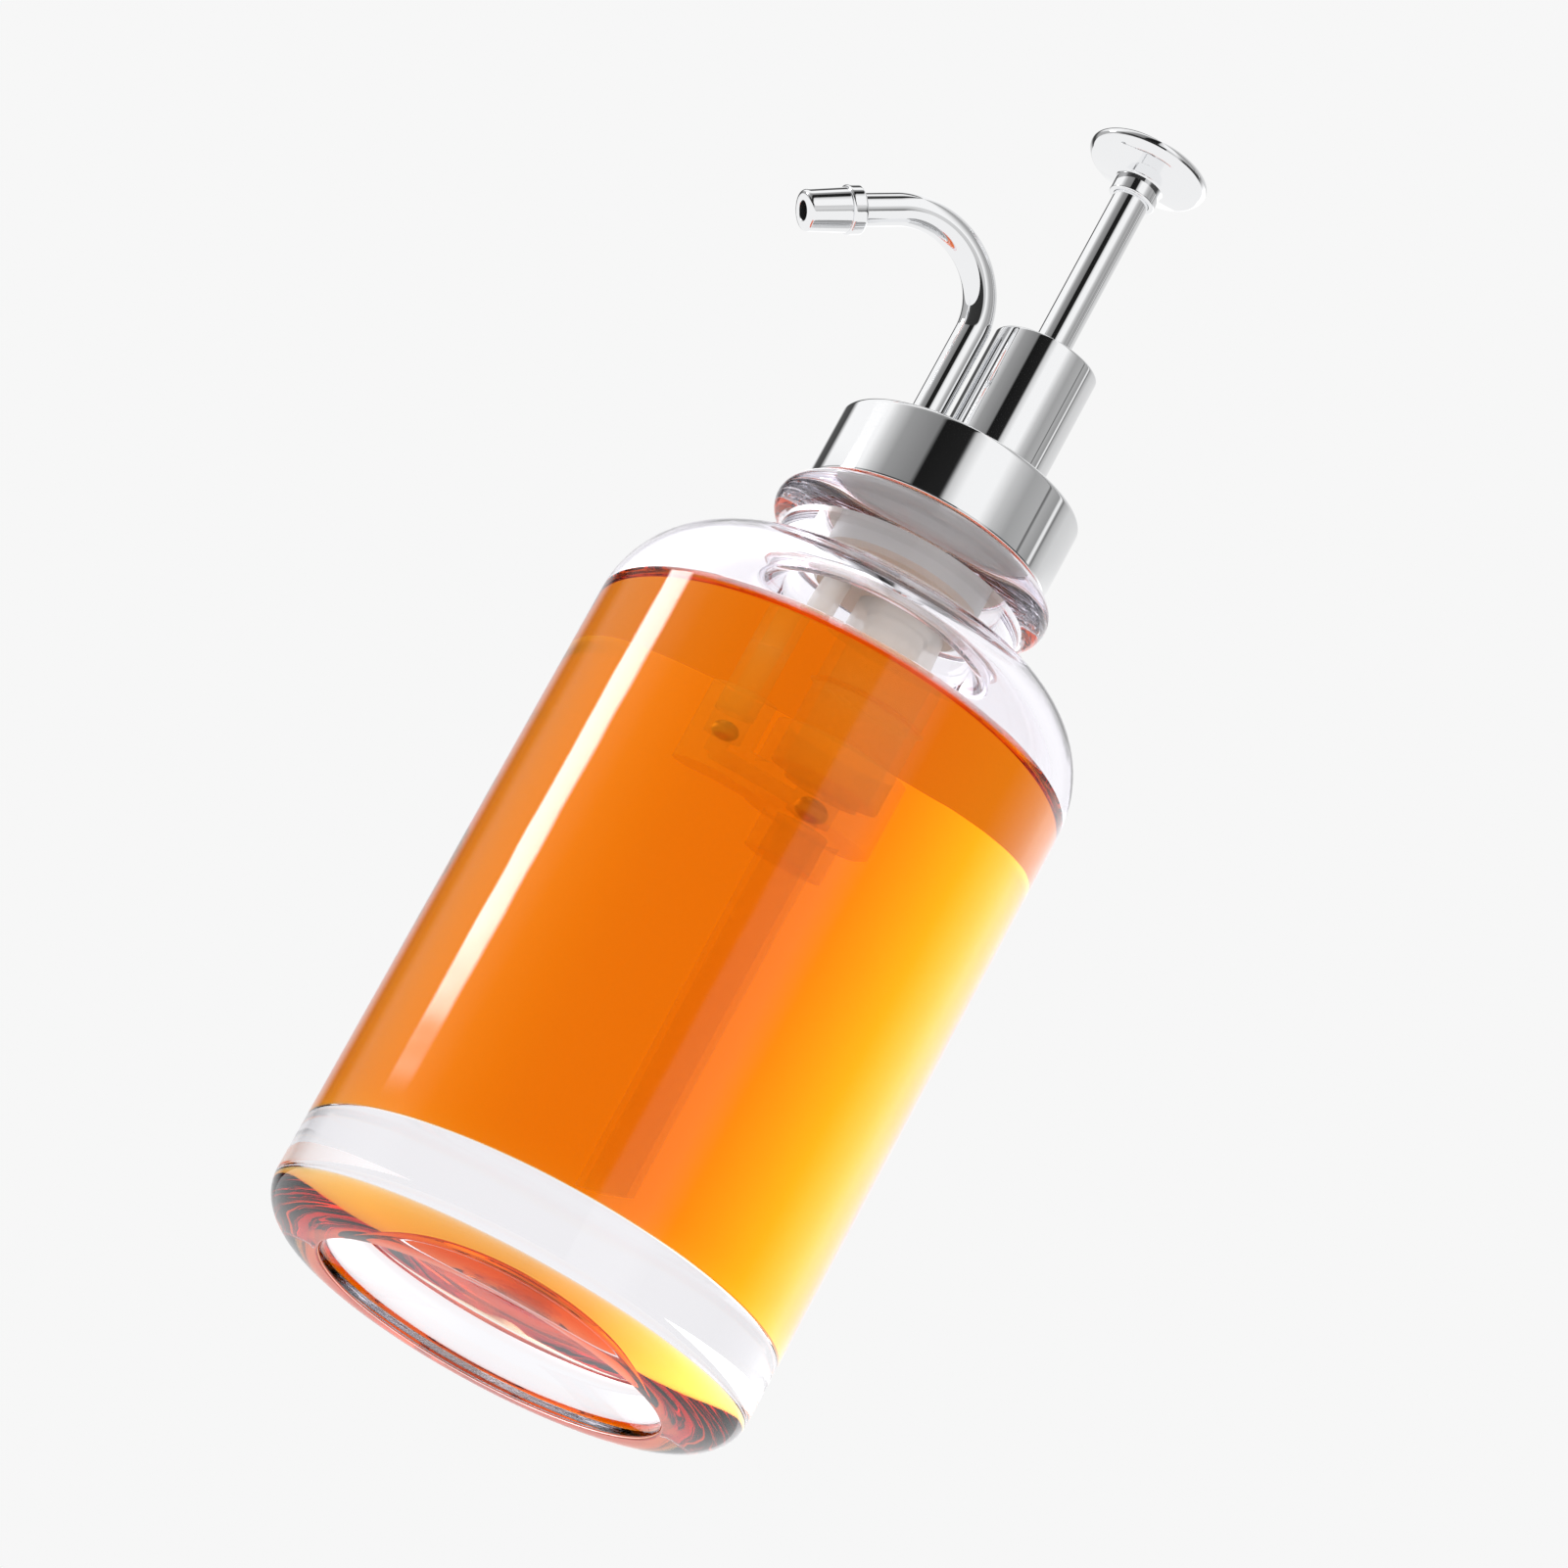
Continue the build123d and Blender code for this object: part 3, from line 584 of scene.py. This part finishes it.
# ---- Studio -----------------------------------------------------------------------------
# Panels round the object: (degrees to the right of the camera, value).
HEAD_MIRROR = (           # what the chrome reflects, above the bottle's shoulder
    (-180, 1.0), (-162, 0.95), (-154, 0.10), (-139, 0.07), (-131, 1.0),      # backdrop, left flag
    (-86, 1.0), (-76, 0.65), (-62, 0.33), (-35, 0.22), (-31, 0.01),          # left softbox, grey room
    (-6, 0.015), (-2, 0.62), (9, 0.97), (32, 0.97), (45, 0.58), (60, 0.37),  # black card, right softbox
    (79, 0.44), (80.5, 0.04), (83, 0.43), (96, 0.31), (97.5, 0.9),           # dark slit, strip light
    (100, 0.88), (102, 0.12), (106, 0.45), (118, 0.65), (160, 0.78),         # dark slit, right of backdrop
)
BODY_MIRROR = (           # what the bottle's wall reflects, lower down
    (-180, 1.0), (-158, 0.6), (-150, 0.06), (-140, 0.05), (-131, 0.4),
    (-90, 0.5), (-82, 0.35), (-74, 0.12), (-55, 0.04), (11, 0.03),
    (13, 0.55), (35, 0.7), (48, 0.08), (92, 0.06), (101, 0.3), (121, 1.0), (134, 1.6), (160, 1.5),
)
THROUGH = (               # what shows through the glass and the syrup
    (-180, 1.0), (-170, 1.2), (-163, 1.6), (-153, 2.1), (-142, 2.6), (-131, 2.9), (-110, 2.6),
    (-86, 1.2), (-60, 0.9), (60, 0.9), (110, 0.95), (126, 1.0), (150, 1.1), (168, 1.0),
)
PANELS_TURN = math.radians(106)       # brings 0 degrees of the panels to the camera
STRIP_LIGHT = 13.0                    # the narrow lamp that draws the line of light down the glass
STRIP_LEFT = (math.radians(-105.5), math.radians(-103))
STRIP_RIGHT = (math.radians(-89), math.radians(-92.5))
STRIP_FOOT = (0.24, 0.27)             # upward part of the direction, where the strip begins
HEAD_FOOT = (0.33, 0.35)              # and where the head's panels take over from the body's


def ring_of_panels(tree, along, panels):
    """The value of the panels at this way round, from 0 at the far side through the camera to 1."""
    ramp = add(tree, "ShaderNodeValToRGB", {"Fac": along})
    stops = ramp.color_ramp.elements
    stops.remove(stops[-1])
    for k, (angle, value) in enumerate(panels):
        position = (angle + 180) / 360
        stop = stops[0] if k == 0 else stops.new(position)
        stop.position = position
        stop.color = (value, value, value, 1)
    stops.new(1.0).color = (panels[0][1],) * 3 + (1,)
    return ramp.outputs["Color"]


def soft_step(tree, value, limits):
    return spread(tree, value, 0.0, 1.0, *limits, interpolation_type="SMOOTHSTEP")


def world():
    """Panels for mirrors, others for what shows through glass, and plain white for the rest."""
    scene_world = bpy.data.worlds.new("studio")
    bpy.context.scene.world = scene_world
    scene_world.use_nodes = True
    tree = scene_world.node_tree
    tree.nodes.clear()
    way = add(tree, "ShaderNodeTexCoord").outputs["Generated"]
    turned = add(tree, "ShaderNodeVectorRotate", {"Vector": way, "Angle": PANELS_TURN},
                 rotation_type="Z_AXIS")
    parts = add(tree, "ShaderNodeSeparateXYZ", {"Vector": turned.outputs["Vector"]}).outputs
    azimuth = maths(tree, "ARCTAN2", parts["Y"], parts["X"])
    along = spread(tree, azimuth, 0.0, 1.0, -math.pi, math.pi)
    head, body, through = (shader(tree, "Background", Color=ring_of_panels(tree, along, panels))
                           for panels in (HEAD_MIRROR, BODY_MIRROR, THROUGH))
    strip = maths(tree, "MULTIPLY", soft_step(tree, azimuth, STRIP_LEFT),
                  soft_step(tree, azimuth, STRIP_RIGHT))
    strip = maths(tree, "MULTIPLY", strip, soft_step(tree, parts["Z"], STRIP_FOOT))
    lamp_line = shader(tree, "Background", Color=(1, 1, 1, 1),
                       Strength=maths(tree, "MULTIPLY", strip, STRIP_LIGHT))
    body = add(tree, "ShaderNodeAddShader", {0: body, 1: lamp_line}).outputs["Shader"]
    mirrored = mixed(tree, soft_step(tree, parts["Z"], HEAD_FOOT), body, head)
    plain = shader(tree, "Background", Color=(WHITE, WHITE, WHITE, 1), Strength=1.0)
    seen = add(tree, "ShaderNodeLightPath").outputs
    shown = mixed(tree, seen["Is Glossy Ray"], plain, mirrored)
    shown = mixed(tree, seen["Is Transmission Ray"], shown, through)
    add(tree, "ShaderNodeOutputWorld", {"Surface": shown})


def table_top():
    """A pale floor that shows from above only, and that mirrors and glass see as plain white."""
    made, tree = new_material("pale floor")
    matt = shader(tree, "BsdfDiffuse", Color=(0.82, 0.82, 0.82, 1))
    light = shader(tree, "Emission", Color=(WHITE, WHITE, WHITE, 1), Strength=1.0)
    nothing = shader(tree, "BsdfTransparent")
    seen = add(tree, "ShaderNodeLightPath").outputs
    away = add(tree, "ShaderNodeVectorMath", {0: object_space(tree)}, operation="LENGTH").outputs["Value"]
    far = spread(tree, away, 0.0, 1.0, start=0.25, end=0.9)
    mirrored = maths(tree, "MAXIMUM", seen["Is Glossy Ray"], seen["Is Transmission Ray"])
    upper = mixed(tree, maths(tree, "MAXIMUM", far, mirrored), matt, light)
    under = add(tree, "ShaderNodeNewGeometry").outputs["Backfacing"]
    output(tree, mixed(tree, under, upper, nothing))
    shape = bmesh.new()
    bmesh.ops.create_circle(shape, cap_ends=True, segments=96, radius=4.0)
    mesh = bpy.data.meshes.new("table_top")
    shape.to_mesh(mesh)
    shape.free()
    mesh.materials.append(made)
    top = bpy.data.objects.new("table_top", mesh)
    top.location.z = -0.0003
    bpy.context.scene.collection.objects.link(top)


def lamp():
    """One wide soft lamp above and to the left, which no mirror or glass shows."""
    data = bpy.data.lights.new("soft_top", "AREA")
    data.shape = "DISK"
    data.size = 0.6
    data.energy = 4.0
    top = bpy.data.objects.new("soft_top", data)
    top.location = (-0.5, -0.5, 1.1)
    top.rotation_euler = (Vector((0, 0, 0.1)) - top.location).to_track_quat("-Z", "Y").to_euler()
    top.visible_camera = False
    top.visible_glossy = False
    top.visible_transmission = False
    bpy.context.scene.collection.objects.link(top)


def camera():
    """A long lens, below the table's level and rolled to the right."""
    across, level = math.sin(CAMERA_TURN), math.cos(CAMERA_TURN)
    ahead = Vector((across * math.cos(CAMERA_TILT), level * math.cos(CAMERA_TILT), math.sin(CAMERA_TILT)))
    right = Vector((level, -across, 0))
    up = right.cross(ahead)
    x = right * math.cos(CAMERA_ROLL) + up * math.sin(CAMERA_ROLL)
    y = up * math.cos(CAMERA_ROLL) - right * math.sin(CAMERA_ROLL)
    data = bpy.data.cameras.new("photo_camera")
    data.sensor_width = 36
    data.lens = LENS
    data.clip_start = 0.05
    eye = bpy.data.objects.new("photo_camera", data)
    eye.matrix_world = Matrix.Translation(EYE) @ Matrix((x, y, -ahead)).transposed().to_4x4()
    bpy.context.scene.collection.objects.link(eye)
    bpy.context.scene.camera = eye


world()
table_top()
lamp()
camera()
bpy.context.scene.view_settings.view_transform = "Standard"
paths = bpy.context.scene.cycles      # light runs up the thick glass in many short steps
paths.max_bounces = 24
paths.transmission_bounces = 24
paths.glossy_bounces = 12
paths.transparent_max_bounces = 48
